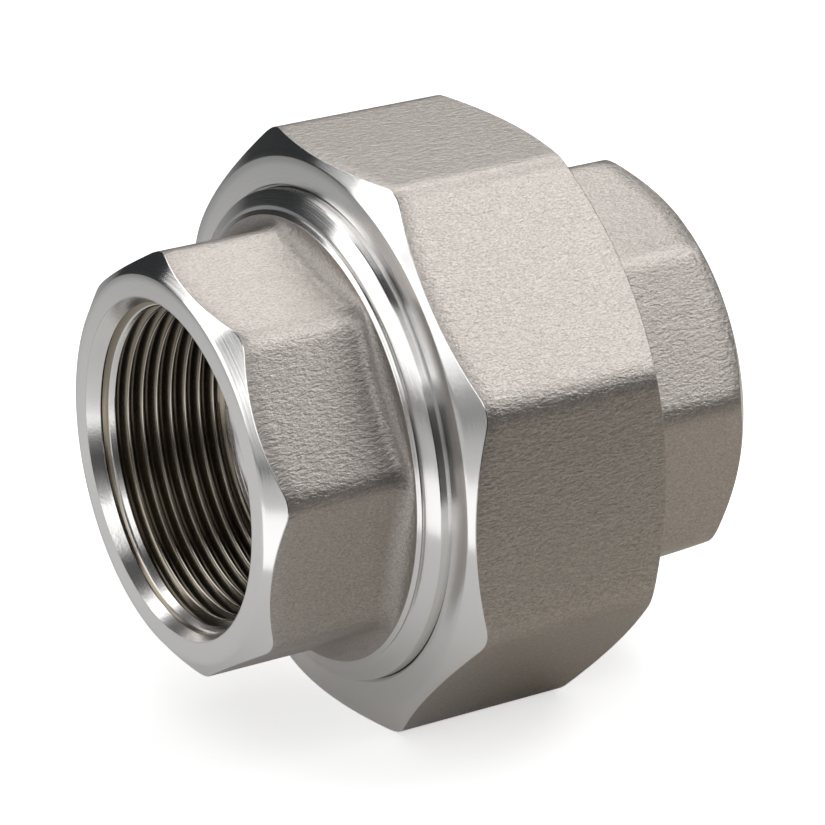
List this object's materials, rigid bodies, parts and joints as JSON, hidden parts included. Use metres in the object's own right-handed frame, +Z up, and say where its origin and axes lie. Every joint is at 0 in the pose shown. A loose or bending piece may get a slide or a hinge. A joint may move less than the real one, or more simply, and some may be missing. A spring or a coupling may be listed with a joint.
{
  "type": "pipe union",
  "caption": "Threaded pipe union in cast stainless steel: an octagonal coupling nut draws the collar of one female-threaded end against the other, with a flat gasket between them.",
  "frame": {"origin": "on the bore's axis, midway between the two end faces", "axes": "+X along the bore from the tail piece's mouth to the head piece's, +Z up, square to the flat that the nut lies on"},
  "size_m": [0.0782, 0.082, 0.082],
  "materials": {
    "cast_steel": "satin",
    "seal": "matte"
  },
  "bodies": {
    "head": {"head_piece": "cast_steel"},
    "seal": {"gasket": "seal"},
    "tail": {"tail_piece": "cast_steel"},
    "nut": {"union_nut": "cast_steel"}
  },
  "joints": [
    {"name": "union_opening", "type": "slide", "parent": "head", "child": "seal", "axis": [-1, 0, 0], "range_m": [0, 0.018]},
    {"name": "nut_turn", "type": "hinge", "parent": "seal", "child": "nut", "pos_m": [0, 0, 0], "axis": [-1, 0, 0], "range_deg": [0, 3240]},
    {"name": "tail_swivel", "type": "hinge", "parent": "seal", "child": "tail", "pos_m": [0, 0, 0], "axis": [1, 0, 0], "continuous": true}
  ],
  "couplings": [
    {"joint": "union_opening", "follows": "nut_turn", "m_per_rad": 0.0003183}
  ]
}
